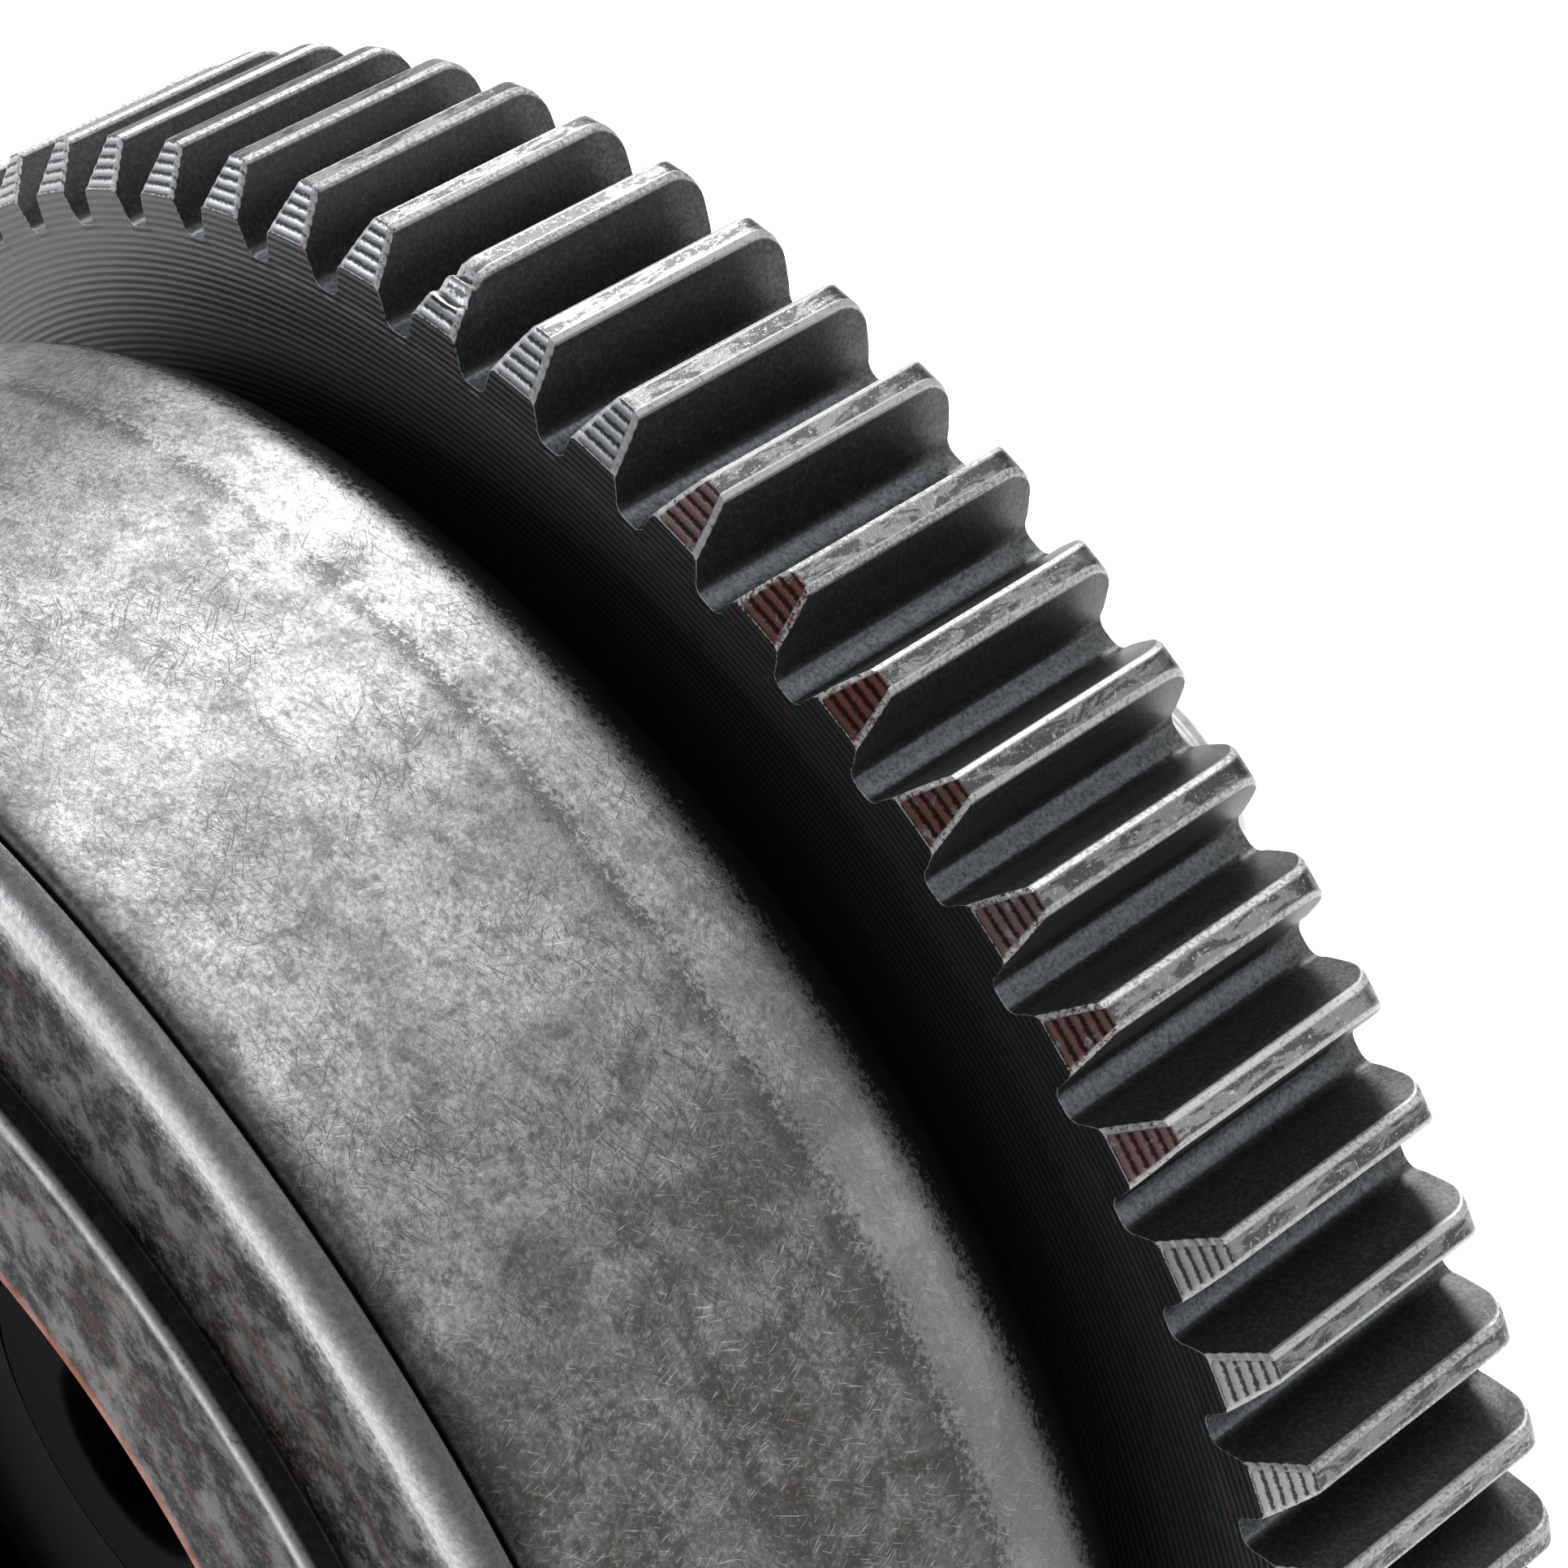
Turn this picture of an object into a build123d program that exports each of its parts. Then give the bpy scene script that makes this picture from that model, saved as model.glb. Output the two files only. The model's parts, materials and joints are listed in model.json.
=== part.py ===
from build123d import *
import os
from math import acos, cos, degrees, pi, radians, sin, sqrt, tan

# Geared overrunning clutch: a spur ring gear bolted to a clutch drum that runs on a hollow hub.
# Millimetres. The axis of rotation is Y, the drum's open front is towards -Y, and +Z is up.
# The origin is on the axis, at the middle of the gear's face width.

# Ring gear
MODULE = 1.5
TEETH = 68
PRESSURE_ANGLE = 20.0
FACE_WIDTH = 12.8
TIP_R = MODULE * (TEETH + 2) / 2
ROOT_R = MODULE * (TEETH - 2.5) / 2
PITCH_R = MODULE * TEETH / 2
BACKLASH = 0.10
FIRST_TOOTH_ANGLE = 47.9
FRONT_CHAMFER_AXIAL = 1.5
FRONT_CHAMFER_RADIAL = 1.75
REAR_CORNER_R = 1.25
SPIGOT_R = 35.0
GEAR_FRONT = -FACE_WIDTH / 2
GEAR_REAR = FACE_WIDTH / 2

# Drum
DRUM_R = 46.1
DRUM_LENGTH = 25.5
DRUM_FRONT = GEAR_FRONT - DRUM_LENGTH
DRUM_REAR_ROUND = 4.0
NECK_R = 40.6
NECK_LENGTH = 2.1
DRUM_REAR = GEAR_FRONT - NECK_LENGTH
DRUM_FRONT_ROUND = 0.6
DRUM_BORE_R = 33.0
RACE_SHOULDER_R = 31.5
COVER_SEAT_R = 38.0
COVER_SEAT_DEPTH = 6.0

# Front cover
COVER_R = 45.7
COVER_RIM = 1.5
COVER_RIM_ROUND = 1.3
COVER_FACE = DRUM_FRONT - COVER_RIM
COVER_RING_R = 33.7
COVER_RING_HEIGHT = 0.9
COVER_OPENING_R = 22.4
COVER_LIP_R = 20.4
COVER_LIP = 1.8
HOUSING_R = 27.5
HOUSING_PAST_SEAT = 2.0
DISH_OUTER_R = 43.4
DISH_DEPTH = 0.35
OPENING_EDGE = 0.5
RING_EDGE = 0.3

# Front seal and the spring clip behind the front bearing
SEAL_THICKNESS = 1.0
SEAL_LIP_R = 10.35
SEAL_LIP_TAPER = 1.6
CLIP_GROOVE = (0.1, 1.4)
CLIP_SPAN = (0.12, 1.3)
CLIP_IN_GROOVE = 0.8
CLIP_OUT_OF_GROOVE = 1.9
CLIP_GROOVE_DEPTH = 0.9

# Ball bearings, 20 x 42 x 12, one at each end
BEARING_BORE_R = 10.0
BEARING_OUTER_R = 21.0
BEARING_WIDTH = 12.0
BALL_R = 3.175
BALL_CIRCLE_R = 15.5
BALL_COUNT = 9
BALL_CLEARANCE = 0.04
INNER_LAND_R = 13.6
OUTER_LAND_R = 17.4
CAGE_HALF_THICKNESS = 0.9
CAGE_HALF_WIDTH = 4.4
CAGE_CLEARANCE = 0.06
FRONT_BEARING_Y = -24.0
REAR_BEARING_Y = 8.0

# Roller clutch
RACE_INNER_R = 30.0
RACE_FRONT = -10.0
RACE_REAR = 5.0
ROLLER_R = 4.0
ROLLER_COUNT = 6
ROLLER_LENGTH = 12.0
ROLLER_CLEARANCE = 0.03
WEDGE_ANGLE = 8.0
CAM_R = 29.4
CAM_INSET = 0.5
POCKET_HEIGHT = 12.0
POCKET_WEDGE_END = 8.6
POCKET_SPRING_END = -9.0
CLUTCH_MID = (RACE_FRONT + RACE_REAR) / 2
ROLLER_CIRCLE_R = RACE_INNER_R - ROLLER_R - ROLLER_CLEARANCE
CAM_FLAT = ROLLER_CIRCLE_R * cos(radians(WEDGE_ANGLE)) - ROLLER_R - ROLLER_CLEARANCE
SPRING_RISE = 1.0
SPRING_FOLD = 1.15
SPRING_HEIGHT = 4.0
SPRING_GAP = 0.15
SPRING_GAP_BELOW = 1.6
SPRING_WIDTH = 8.0
SHIFT_ROOM = 2.2

# Hub
HUB_R = 10.0
HUB_BORE_R = 5.0
HUB_FRONT = -27.0
JOURNAL_R = 8.4
HUB_REAR = 35.9
CROSS_HOLE_R = 1.5
CROSS_HOLE_Y = 31.65
KEY_WIDTH = 6.0
KEY_HEIGHT = 6.0
KEY_DEPTH_IN_HUB = 2.5
HUB_EDGE = 0.5
JOURNAL_EDGE = 0.8
HUB_CLIP_GROOVE = (0.1, 1.3)
HUB_CLIP_SPAN = (0.12, 1.28)
HUB_CLIP_GROOVE_DEPTH = 0.6
HUB_CLIP_DEPTH = 0.5
HUB_CLIP_HEIGHT = 1.7

# Rear cover, the bearing housing in it, its screws and dowels
REAR_COVER_R = 42.4
REAR_COVER_PLATE = 3.2
REAR_COVER_EDGE = 0.6
REAR_SHOULDER_R = 19.0
REAR_PLATE_END = GEAR_REAR + REAR_COVER_PLATE
REAR_HOUSING_R = 23.8
REAR_HOUSING_SEAT_R = 23.0
REAR_HOUSING_FOOT = 2.0
REAR_HOUSING_END = 21.8
REAR_HOUSING_EDGE = 0.8
REAR_LIP = 1.2
SCREW_COUNT = 8
SCREW_CIRCLE_R = 38.0
SCREW_R = 2.0
SCREW_HOLE_R = 2.05
SCREW_HEAD_R = 3.6
SCREW_HEAD_CLEARANCE = 0.15
SCREW_BELOW_FACE = 0.1
SCREW_SOCKET_R = 1.45
SCREW_SOCKET_DEPTH = 1.6
SCREW_DEPTH_IN_DRUM = 10.0
DOWEL_R = 2.0
DOWEL_IN_DRUM = 6.0
DOWEL_IN_GEAR = 8.0

# Lock nut on the hub
NUT_R = 16.0
NUT_WIDTH = 6.0
NUT_EDGE = 0.8
WASHER_THICKNESS = 1.0
NUT_SLOTS = 4
NUT_SLOT = 4.0
TAB_WIDTH = 3.4
TAB_REACH = 0.5


def save(shape, node):
    export_step(shape, f"parts/{node}.step")


def turned(points):
    """A solid of revolution about Y from (radius, y) points."""
    outline = [Vector(r, y, 0) for r, y in points]
    profile = make_face(Polyline(*outline, close=True))
    return revolve(profile, Axis.Y, 360)


def ring(inner, outer, y0, y1):
    return turned([(inner, y0), (outer, y0), (outer, y1), (inner, y1)])


def rod(radius, y0, y1):
    return turned([(0, y0), (radius, y0), (radius, y1), (0, y1)])


def at(radius, angle, shape):
    """A shape moved out along X by a radius and turned about Y from +X towards +Z."""
    return Rotation(0, -angle, 0) * Pos(radius, 0, 0) * shape


def around(shape, count, radius, start=0.0):
    return [at(radius, start + 360.0 * i / count, shape) for i in range(count)]


def xz_face(wire, y0, length):
    """A prism along +Y from a closed wire drawn in a plane where X is X and Y is Z."""
    face = make_face(wire)
    prism = extrude(face, amount=length)
    return Pos(0, y0, 0) * Rotation(-90, 0, 0) * mirror(prism, Plane.XZ)


def involute_half_angle(radius):
    """Half the angle that a tooth takes up at a radius, in degrees."""
    alpha = radians(PRESSURE_ANGLE)
    base = PITCH_R * cos(alpha)
    at_pitch = pi / (2 * TEETH) - BACKLASH / (2 * PITCH_R)
    pitch_involute = tan(alpha) - alpha
    here = acos(min(1.0, base / radius))
    return degrees(at_pitch + pitch_involute - (tan(here) - here))


def polar(radius, angle):
    return (radius * cos(radians(angle)), radius * sin(radians(angle)))


def gear_outline():
    """One closed outline of all the teeth, each flank one arc through three involute points."""
    step = 360.0 / TEETH
    form_r = ROOT_R + 0.35 * MODULE
    edges = []
    for i in range(TEETH):
        mid = FIRST_TOOTH_ANGLE + i * step
        tip = involute_half_angle(TIP_R)
        centre = involute_half_angle(PITCH_R)
        form = involute_half_angle(form_r)
        low = polar(form_r, mid - form)
        high = polar(TIP_R, mid - tip)
        edges.append(ThreePointArc(low, polar(PITCH_R, mid - centre), high))
        edges.append(ThreePointArc(high, polar(TIP_R, mid), polar(TIP_R, mid + tip)))
        fall = polar(form_r, mid + form)
        edges.append(ThreePointArc(polar(TIP_R, mid + tip), polar(PITCH_R, mid + centre), fall))
        following = polar(form_r, mid + step - form)
        edges.append(ThreePointArc(fall, polar(ROOT_R, mid + step / 2), following))
    return Wire(edges)


def gear_ring():
    teeth = xz_face(gear_outline(), GEAR_FRONT, FACE_WIDTH)
    chamfer_r = TIP_R - FRONT_CHAMFER_RADIAL
    rear_start = GEAR_REAR - REAR_CORNER_R
    half = REAR_CORNER_R * sqrt(0.5)
    lines = [
        Line((SPIGOT_R, GEAR_FRONT), (chamfer_r, GEAR_FRONT)),
        Line((chamfer_r, GEAR_FRONT), (TIP_R + 0.01, GEAR_FRONT + FRONT_CHAMFER_AXIAL)),
        Line((TIP_R + 0.01, GEAR_FRONT + FRONT_CHAMFER_AXIAL), (TIP_R + 0.01, rear_start)),
        ThreePointArc(
            (TIP_R + 0.01, rear_start),
            (TIP_R - REAR_CORNER_R + half, rear_start + half),
            (TIP_R - REAR_CORNER_R, GEAR_REAR),
        ),
        Line((TIP_R - REAR_CORNER_R, GEAR_REAR), (SPIGOT_R, GEAR_REAR)),
        Line((SPIGOT_R, GEAR_REAR), (SPIGOT_R, GEAR_FRONT)),
    ]
    blank = revolve(make_face(Wire(lines)), Axis.Y, 360)
    body = teeth & blank
    for hole in around(rod(SCREW_HOLE_R, GEAR_FRONT - 1, GEAR_REAR + 1), SCREW_COUNT, SCREW_CIRCLE_R):
        body -= hole
    for hole in dowels():
        body -= hole
    return body


def dowels():
    """Two dowels, each half way between two screws, set in the drum and in the gear's web."""
    pin = rod(DOWEL_R, GEAR_FRONT - DOWEL_IN_DRUM, GEAR_FRONT + DOWEL_IN_GEAR)
    return around(pin, 2, SCREW_CIRCLE_R, 180.0 / SCREW_COUNT)


def clutch_drum():
    tangent_r = DRUM_R - DRUM_REAR_ROUND
    tangent_y = DRUM_REAR - DRUM_REAR_ROUND
    reach = DRUM_REAR_ROUND * sqrt(0.5)
    seat_y = DRUM_FRONT + COVER_SEAT_DEPTH
    lines = [
        Line((DRUM_BORE_R, RACE_FRONT), (DRUM_BORE_R, GEAR_REAR)),
        Line((DRUM_BORE_R, GEAR_REAR), (SPIGOT_R, GEAR_REAR)),
        Line((SPIGOT_R, GEAR_REAR), (SPIGOT_R, GEAR_FRONT)),
        Line((SPIGOT_R, GEAR_FRONT), (NECK_R, GEAR_FRONT)),
        Line((NECK_R, GEAR_FRONT), (NECK_R, DRUM_REAR)),
        Line((NECK_R, DRUM_REAR), (tangent_r, DRUM_REAR)),
        ThreePointArc((tangent_r, DRUM_REAR), (tangent_r + reach, tangent_y + reach), (DRUM_R, tangent_y)),
        Line((DRUM_R, tangent_y), (DRUM_R, DRUM_FRONT + DRUM_FRONT_ROUND)),
        Line((DRUM_R, DRUM_FRONT + DRUM_FRONT_ROUND), (DRUM_R - DRUM_FRONT_ROUND, DRUM_FRONT)),
        Line((DRUM_R - DRUM_FRONT_ROUND, DRUM_FRONT), (COVER_SEAT_R, DRUM_FRONT)),
        Line((COVER_SEAT_R, DRUM_FRONT), (COVER_SEAT_R, seat_y)),
        Line((COVER_SEAT_R, seat_y), (RACE_SHOULDER_R, seat_y)),
        Line((RACE_SHOULDER_R, seat_y), (RACE_SHOULDER_R, RACE_FRONT)),
        Line((RACE_SHOULDER_R, RACE_FRONT), (DRUM_BORE_R, RACE_FRONT)),
    ]
    body = revolve(make_face(Wire(lines)), Axis.Y, 360)
    tapped = rod(SCREW_HOLE_R, GEAR_FRONT - SCREW_DEPTH_IN_DRUM - 1, GEAR_FRONT + 1)
    for hole in around(tapped, SCREW_COUNT, SCREW_CIRCLE_R):
        body -= hole
    for hole in dowels():
        body -= hole
    return body


def front_cover():
    seat_end = FRONT_BEARING_Y + BEARING_WIDTH
    housing_end = seat_end + HOUSING_PAST_SEAT
    spigot_end = DRUM_FRONT + COVER_SEAT_DEPTH
    half = COVER_RIM_ROUND * (1 - sqrt(0.5))
    ring_face = COVER_FACE - COVER_RING_HEIGHT
    dish_face = COVER_FACE + DISH_DEPTH
    lip_front = FRONT_BEARING_Y - COVER_LIP
    lines = [
        Line((COVER_OPENING_R, ring_face + OPENING_EDGE), (COVER_OPENING_R + OPENING_EDGE, ring_face)),
        Line((COVER_OPENING_R + OPENING_EDGE, ring_face), (COVER_RING_R - RING_EDGE, ring_face)),
        Line((COVER_RING_R - RING_EDGE, ring_face), (COVER_RING_R, ring_face + RING_EDGE)),
        Line((COVER_RING_R, ring_face + RING_EDGE), (COVER_RING_R, dish_face)),
        Line((COVER_RING_R, dish_face), (DISH_OUTER_R, dish_face)),
        Line((DISH_OUTER_R, dish_face), (DISH_OUTER_R + DISH_DEPTH, COVER_FACE)),
        Line((DISH_OUTER_R + DISH_DEPTH, COVER_FACE), (COVER_R - COVER_RIM_ROUND, COVER_FACE)),
        ThreePointArc(
            (COVER_R - COVER_RIM_ROUND, COVER_FACE),
            (COVER_R - half, COVER_FACE + half),
            (COVER_R, COVER_FACE + COVER_RIM_ROUND),
        ),
        Line((COVER_R, COVER_FACE + COVER_RIM_ROUND), (COVER_R, DRUM_FRONT)),
        Line((COVER_R, DRUM_FRONT), (COVER_SEAT_R, DRUM_FRONT)),
        Line((COVER_SEAT_R, DRUM_FRONT), (COVER_SEAT_R, spigot_end)),
        Line((COVER_SEAT_R, spigot_end), (HOUSING_R, spigot_end)),
        Line((HOUSING_R, spigot_end), (HOUSING_R, housing_end)),
        Line((HOUSING_R, housing_end), (BEARING_OUTER_R, housing_end)),
        Line((BEARING_OUTER_R, housing_end), (BEARING_OUTER_R, FRONT_BEARING_Y)),
        Line((BEARING_OUTER_R, FRONT_BEARING_Y), (COVER_LIP_R, FRONT_BEARING_Y)),
        Line((COVER_LIP_R, FRONT_BEARING_Y), (COVER_LIP_R, lip_front)),
        Line((COVER_LIP_R, lip_front), (COVER_OPENING_R, lip_front)),
        Line((COVER_OPENING_R, lip_front), (COVER_OPENING_R, ring_face + OPENING_EDGE)),
    ]
    body = revolve(make_face(Wire(lines)), Axis.Y, 360)
    groove = ring(
        BEARING_OUTER_R - 0.5,
        BEARING_OUTER_R + CLIP_GROOVE_DEPTH,
        seat_end + CLIP_GROOVE[0],
        seat_end + CLIP_GROOVE[1],
    )
    return body - groove


def front_seal():
    """A rubber dust seal pressed into the front opening, its lip just clear of the hub."""
    lip_front = FRONT_BEARING_Y - COVER_LIP
    return turned([
        (COVER_OPENING_R, lip_front - SEAL_THICKNESS),
        (COVER_OPENING_R, lip_front),
        (SEAL_LIP_R + SEAL_LIP_TAPER, lip_front),
        (SEAL_LIP_R, lip_front - SEAL_THICKNESS / 2),
        (SEAL_LIP_R, lip_front - SEAL_THICKNESS),
    ])


def housing_circlip():
    seat_end = FRONT_BEARING_Y + BEARING_WIDTH
    clip = ring(
        BEARING_OUTER_R - CLIP_OUT_OF_GROOVE,
        BEARING_OUTER_R + CLIP_IN_GROOVE,
        seat_end + CLIP_SPAN[0],
        seat_end + CLIP_SPAN[1],
    )
    gap = Pos(BEARING_OUTER_R, seat_end, 0) * Box(8, 6, 5)
    return clip - gap


def bearing_inner(y0):
    body = ring(BEARING_BORE_R, INNER_LAND_R, y0, y0 + BEARING_WIDTH)
    groove = Pos(0, y0 + BEARING_WIDTH / 2, 0) * Rotation(90, 0, 0) * Torus(
        BALL_CIRCLE_R, BALL_R + BALL_CLEARANCE
    )
    return body - groove


def bearing_outer(y0):
    body = ring(OUTER_LAND_R, BEARING_OUTER_R, y0, y0 + BEARING_WIDTH)
    groove = Pos(0, y0 + BEARING_WIDTH / 2, 0) * Rotation(90, 0, 0) * Torus(
        BALL_CIRCLE_R, BALL_R + BALL_CLEARANCE
    )
    return body - groove


def bearing_balls(y0):
    ball = Pos(0, y0 + BEARING_WIDTH / 2, 0) * Sphere(BALL_R)
    return Compound(children=around(ball, BALL_COUNT, BALL_CIRCLE_R))


def bearing_cage(y0):
    mid = y0 + BEARING_WIDTH / 2
    inner = BALL_CIRCLE_R - CAGE_HALF_THICKNESS
    outer = BALL_CIRCLE_R + CAGE_HALF_THICKNESS
    body = ring(inner, outer, mid - CAGE_HALF_WIDTH, mid + CAGE_HALF_WIDTH)
    window = Pos(0, mid, 0) * Rotation(0, 90, 0) * Cylinder(BALL_R + CAGE_CLEARANCE, 2 * BALL_R)
    for hole in around(window, BALL_COUNT, BALL_CIRCLE_R):
        body -= hole
    return body


def pocket(angle):
    """The roller pocket: a flat floor, a wedge end and a squared spring end."""
    width = POCKET_WEDGE_END - POCKET_SPRING_END
    length = RACE_REAR - RACE_FRONT + 2
    middle = (POCKET_WEDGE_END + POCKET_SPRING_END) / 2
    cutter = Pos(CAM_FLAT + POCKET_HEIGHT / 2, CLUTCH_MID, middle) * Box(POCKET_HEIGHT, length, width)
    return at(0, angle, cutter)


def clutch_cam():
    body = ring(HUB_R, CAM_R, RACE_FRONT + CAM_INSET, RACE_REAR - CAM_INSET)
    for i in range(ROLLER_COUNT):
        body -= pocket(360.0 * i / ROLLER_COUNT)
    return body - key_block(0.0)


def key_block(shrink):
    height = KEY_HEIGHT - shrink
    low = HUB_R - KEY_DEPTH_IN_HUB
    length = RACE_REAR - RACE_FRONT - 2 * CAM_INSET - shrink
    return Pos(0, CLUTCH_MID, low + height / 2) * Box(KEY_WIDTH, length, height)


def clutch_rollers():
    roller = rod(ROLLER_R, CLUTCH_MID - ROLLER_LENGTH / 2, CLUTCH_MID + ROLLER_LENGTH / 2)
    return Compound(children=around(roller, ROLLER_COUNT, ROLLER_CIRCLE_R, WEDGE_ANGLE))


def roller_springs():
    """Folded strip springs, one behind each roller, standing clear of the pocket's end wall."""
    roller_edge = ROLLER_CIRCLE_R * sin(radians(WEDGE_ANGLE)) - ROLLER_R - SPRING_GAP
    start = POCKET_SPRING_END + SHIFT_ROOM
    folds = int((roller_edge - start) // SPRING_FOLD)
    low = CAM_FLAT + SPRING_GAP_BELOW
    under = []
    for i in range(folds + 1):
        height = low if i % 2 == 0 else low + SPRING_HEIGHT
        under.append((height, roller_edge - i * SPRING_FOLD))
    over = [(height + SPRING_RISE, t) for height, t in reversed(under)]
    strip = xz_face(Polyline(*under, *over, close=True), CLUTCH_MID - SPRING_WIDTH / 2, SPRING_WIDTH)
    return Compound(children=[at(0, 360.0 * i / ROLLER_COUNT, strip) for i in range(ROLLER_COUNT)])


def hub_sleeve():
    nut_end = REAR_BEARING_Y + BEARING_WIDTH + WASHER_THICKNESS + NUT_WIDTH
    body = turned([
        (HUB_BORE_R + HUB_EDGE, HUB_FRONT),
        (HUB_R - HUB_EDGE, HUB_FRONT),
        (HUB_R, HUB_FRONT + HUB_EDGE),
        (HUB_R, nut_end + 0.6),
        (JOURNAL_R, nut_end + 1.2),
        (JOURNAL_R, HUB_REAR - JOURNAL_EDGE),
        (JOURNAL_R - JOURNAL_EDGE, HUB_REAR),
        (HUB_BORE_R + HUB_EDGE, HUB_REAR),
        (HUB_BORE_R, HUB_REAR - HUB_EDGE),
        (HUB_BORE_R, HUB_FRONT + HUB_EDGE),
    ])
    body -= ring(
        HUB_R - HUB_CLIP_GROOVE_DEPTH,
        HUB_R + 1,
        FRONT_BEARING_Y - HUB_CLIP_GROOVE[1],
        FRONT_BEARING_Y - HUB_CLIP_GROOVE[0],
    )
    body -= key_block(0.0)
    return body - Pos(0, CROSS_HOLE_Y, 0) * Cylinder(CROSS_HOLE_R, 4 * JOURNAL_R)


def hub_circlip():
    clip = ring(
        HUB_R - HUB_CLIP_DEPTH,
        HUB_R + HUB_CLIP_HEIGHT,
        FRONT_BEARING_Y - HUB_CLIP_SPAN[1],
        FRONT_BEARING_Y - HUB_CLIP_SPAN[0],
    )
    return clip - Pos(HUB_R, FRONT_BEARING_Y - 1, 0) * Box(7, 4, 4)


def screw_cutter():
    """The clearance hole and countersink that one cover screw needs in the rear cover."""
    mouth_r = SCREW_HEAD_R + SCREW_HEAD_CLEARANCE
    return turned([
        (0, GEAR_REAR - 1),
        (SCREW_HOLE_R, GEAR_REAR - 1),
        (SCREW_HOLE_R, REAR_PLATE_END - mouth_r + SCREW_HOLE_R),
        (mouth_r, REAR_PLATE_END),
        (mouth_r, REAR_PLATE_END + 1),
        (0, REAR_PLATE_END + 1),
    ])


def rear_cover():
    """The plate behind the gear, stepped in its middle for the bearing and its housing."""
    body = turned([
        (REAR_SHOULDER_R, GEAR_REAR),
        (REAR_COVER_R, GEAR_REAR),
        (REAR_COVER_R, REAR_PLATE_END - REAR_COVER_EDGE),
        (REAR_COVER_R - REAR_COVER_EDGE, REAR_PLATE_END),
        (REAR_HOUSING_SEAT_R, REAR_PLATE_END),
        (REAR_HOUSING_SEAT_R, REAR_BEARING_Y),
        (REAR_SHOULDER_R, REAR_BEARING_Y),
    ])
    for hole in around(screw_cutter(), SCREW_COUNT, SCREW_CIRCLE_R):
        body -= hole
    return body


def rear_bearing_housing():
    """The short tube pressed into the rear cover, with an inward lip behind the bearing."""
    bearing_end = REAR_BEARING_Y + BEARING_WIDTH
    return turned([
        (BEARING_OUTER_R, REAR_BEARING_Y),
        (REAR_HOUSING_SEAT_R, REAR_BEARING_Y),
        (REAR_HOUSING_SEAT_R, REAR_PLATE_END),
        (REAR_HOUSING_R + REAR_HOUSING_FOOT, REAR_PLATE_END),
        (REAR_HOUSING_R, REAR_PLATE_END + REAR_HOUSING_FOOT),
        (REAR_HOUSING_R, REAR_HOUSING_END - REAR_HOUSING_EDGE),
        (REAR_HOUSING_R - REAR_HOUSING_EDGE, REAR_HOUSING_END),
        (BEARING_OUTER_R - REAR_LIP, REAR_HOUSING_END),
        (BEARING_OUTER_R - REAR_LIP, bearing_end),
        (BEARING_OUTER_R, bearing_end),
    ])


def cover_screw():
    """A countersunk screw with a hexagon socket, its head just below the cover's face."""
    top = REAR_PLATE_END - SCREW_BELOW_FACE
    body = turned([
        (0, GEAR_FRONT - SCREW_DEPTH_IN_DRUM),
        (SCREW_R, GEAR_FRONT - SCREW_DEPTH_IN_DRUM),
        (SCREW_R, top - SCREW_HEAD_R + SCREW_R),
        (SCREW_HEAD_R, top),
        (0, top),
    ])
    socket_floor = top - SCREW_SOCKET_DEPTH
    return body - xz_face(RegularPolygon(SCREW_SOCKET_R, 6).wire(), socket_floor, SCREW_SOCKET_DEPTH + 1)


def lock_nut(y0):
    body = turned([
        (HUB_R, y0),
        (NUT_R, y0),
        (NUT_R, y0 + NUT_WIDTH - NUT_EDGE),
        (NUT_R - NUT_EDGE, y0 + NUT_WIDTH),
        (HUB_R, y0 + NUT_WIDTH),
    ])
    slot = Pos(0, y0 + NUT_WIDTH / 2, 0) * Box(NUT_SLOT, NUT_WIDTH + 2, NUT_SLOT)
    for cut in around(slot, NUT_SLOTS, NUT_R):
        body -= cut
    return body


def tab_washer(y0):
    washer_r = NUT_R - 1.0
    body = ring(HUB_R, washer_r, y0, y0 + WASHER_THICKNESS)
    start = washer_r - 0.7
    end = NUT_R + TAB_REACH
    tab = Box(end - start, WASHER_THICKNESS, TAB_WIDTH)
    return body + Pos((start + end) / 2, y0 + WASHER_THICKNESS / 2, 0) * tab


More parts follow.
